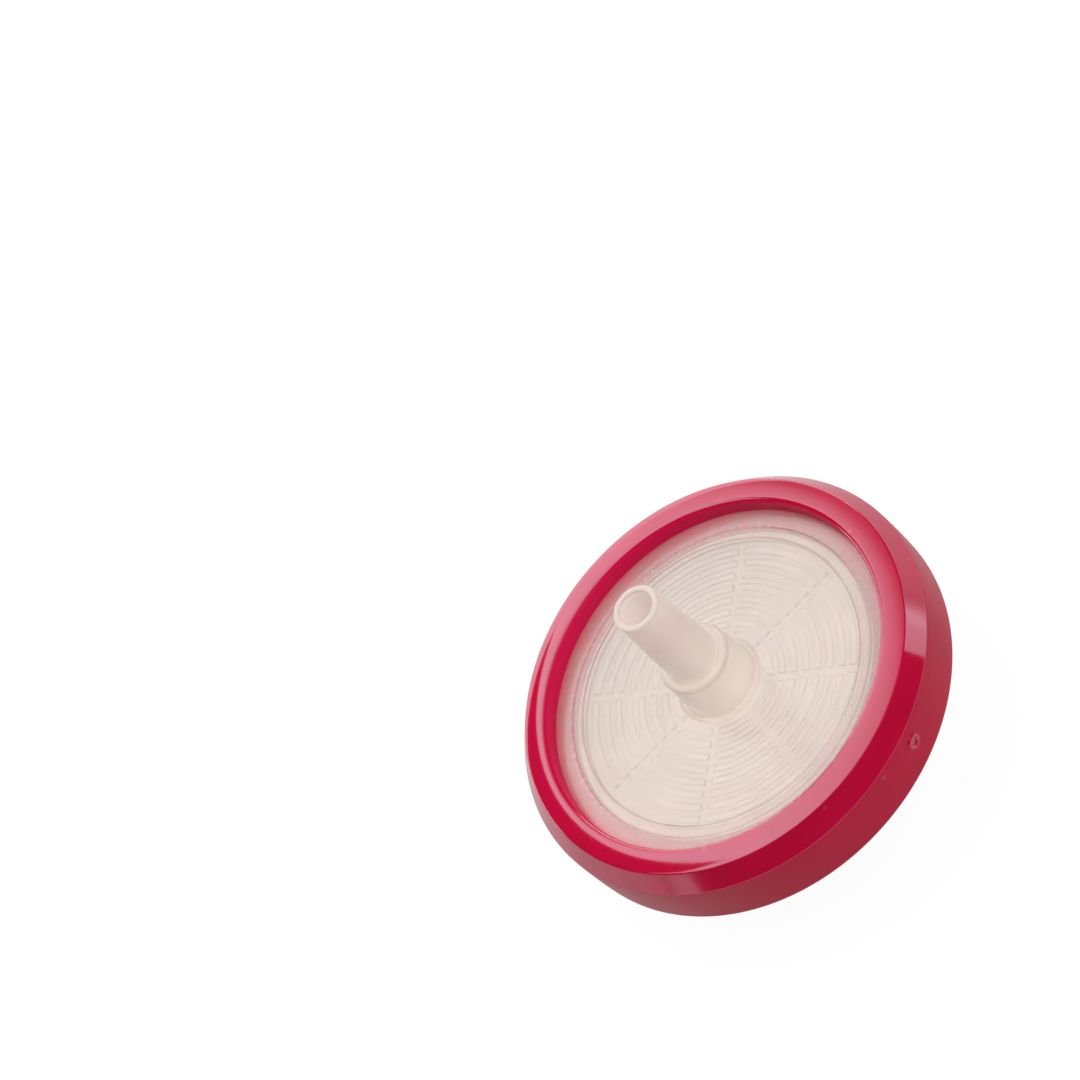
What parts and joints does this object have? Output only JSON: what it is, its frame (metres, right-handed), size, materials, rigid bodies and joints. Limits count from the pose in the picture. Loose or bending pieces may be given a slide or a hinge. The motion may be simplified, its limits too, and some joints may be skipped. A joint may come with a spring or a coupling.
{
  "type": "syringe filter",
  "caption": "Disposable syringe filter: membrane clamped between natural plastic housings in a crimson moulded rim, with a lugged inlet socket and a slip-tip outlet.",
  "frame": {"origin": "centre of the inlet socket's mouth, which the filter stands on", "axes": "+Z along the flow, from the inlet socket up through the plates to the tip of the outlet nozzle; +X along one radial channel of the drain"},
  "size_m": [0.036, 0.036, 0.0257],
  "materials": {
    "natural_plastic": "milky, see-through, satin moulded polypropylene",
    "membrane_white": "matt white microporous film",
    "crimson_plastic": "glossy on the lip and slope, satin on the outer wall"
  },
  "bodies": {
    "root": {"inlet_housing": "natural_plastic", "membrane": "membrane_white", "outlet_housing": "natural_plastic", "overmould_ring": "crimson_plastic"}
  },
  "joints": []
}
